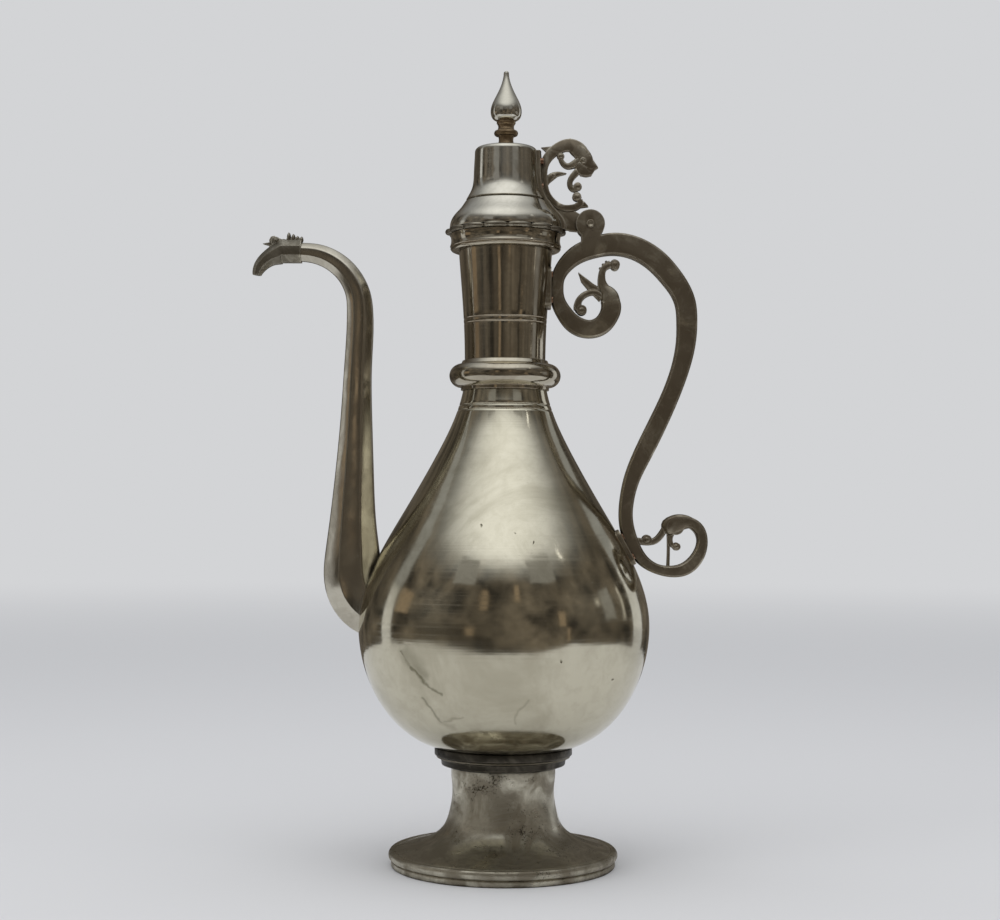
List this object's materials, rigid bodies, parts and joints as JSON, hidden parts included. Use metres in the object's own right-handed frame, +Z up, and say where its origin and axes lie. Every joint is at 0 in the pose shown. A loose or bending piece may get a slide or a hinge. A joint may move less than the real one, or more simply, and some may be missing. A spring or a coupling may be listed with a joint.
{
  "type": "lidded ewer",
  "caption": "Tinned copper ewer with a pear-shaped body, flared foot, octagonal spout with a beast's head, scroll handle and hinged domed lid with a drop finial.",
  "frame": {"origin": "centre of the foot's rim, on the surface that the ewer stands on", "axes": "+Z up along the axis of the body, -X towards the spout, +X towards the handle"},
  "size_m": [0.2875, 0.1824, 0.5],
  "materials": {
    "body_tin": "worn polished tinning over copper",
    "lid_tin": "worn polished tinning over copper",
    "spout_tin": "worn tinning with copper showing through",
    "foot_tin": "tarnished and spotted tinning",
    "dark_tin": "heavily tarnished tinning",
    "cast_bronze": "brown patina with bright worn edges",
    "finial_copper": "brown patinated copper",
    "rivet_copper": "brown patinated copper",
    "pin_metal": "worn bright"
  },
  "bodies": {
    "vessel": {"foot": "foot_tin", "foot_rim": "foot_tin", "foot_collar": "dark_tin", "body_shell": "body_tin", "neck_collar": "body_tin", "neck": "body_tin", "mouth_ring": "body_tin", "spout_tube": "spout_tin", "spout_head": "cast_bronze", "neck_plate": "cast_bronze", "body_plate": "cast_bronze", "neck_plate_rivets": "rivet_copper", "body_plate_rivets": "rivet_copper", "handle": "cast_bronze", "hinge_pin": "pin_metal"},
    "lid": {"lid_shell": "lid_tin", "lobed_plate": "lid_tin", "lid_bezel": "lid_tin", "finial_spindle": "finial_copper", "finial_rove": "rivet_copper", "finial_disc": "finial_copper", "finial_spool": "finial_copper", "finial_drop": "lid_tin", "lid_strap": "cast_bronze", "thumbpiece": "cast_bronze", "strap_rivets": "rivet_copper"}
  },
  "joints": [
    {"name": "lid_hinge", "type": "hinge", "parent": "vessel", "child": "lid", "pos_m": [0.05346, 0, 0.4024], "axis": [0, 1, 0], "range_deg": [0, 98]}
  ]
}
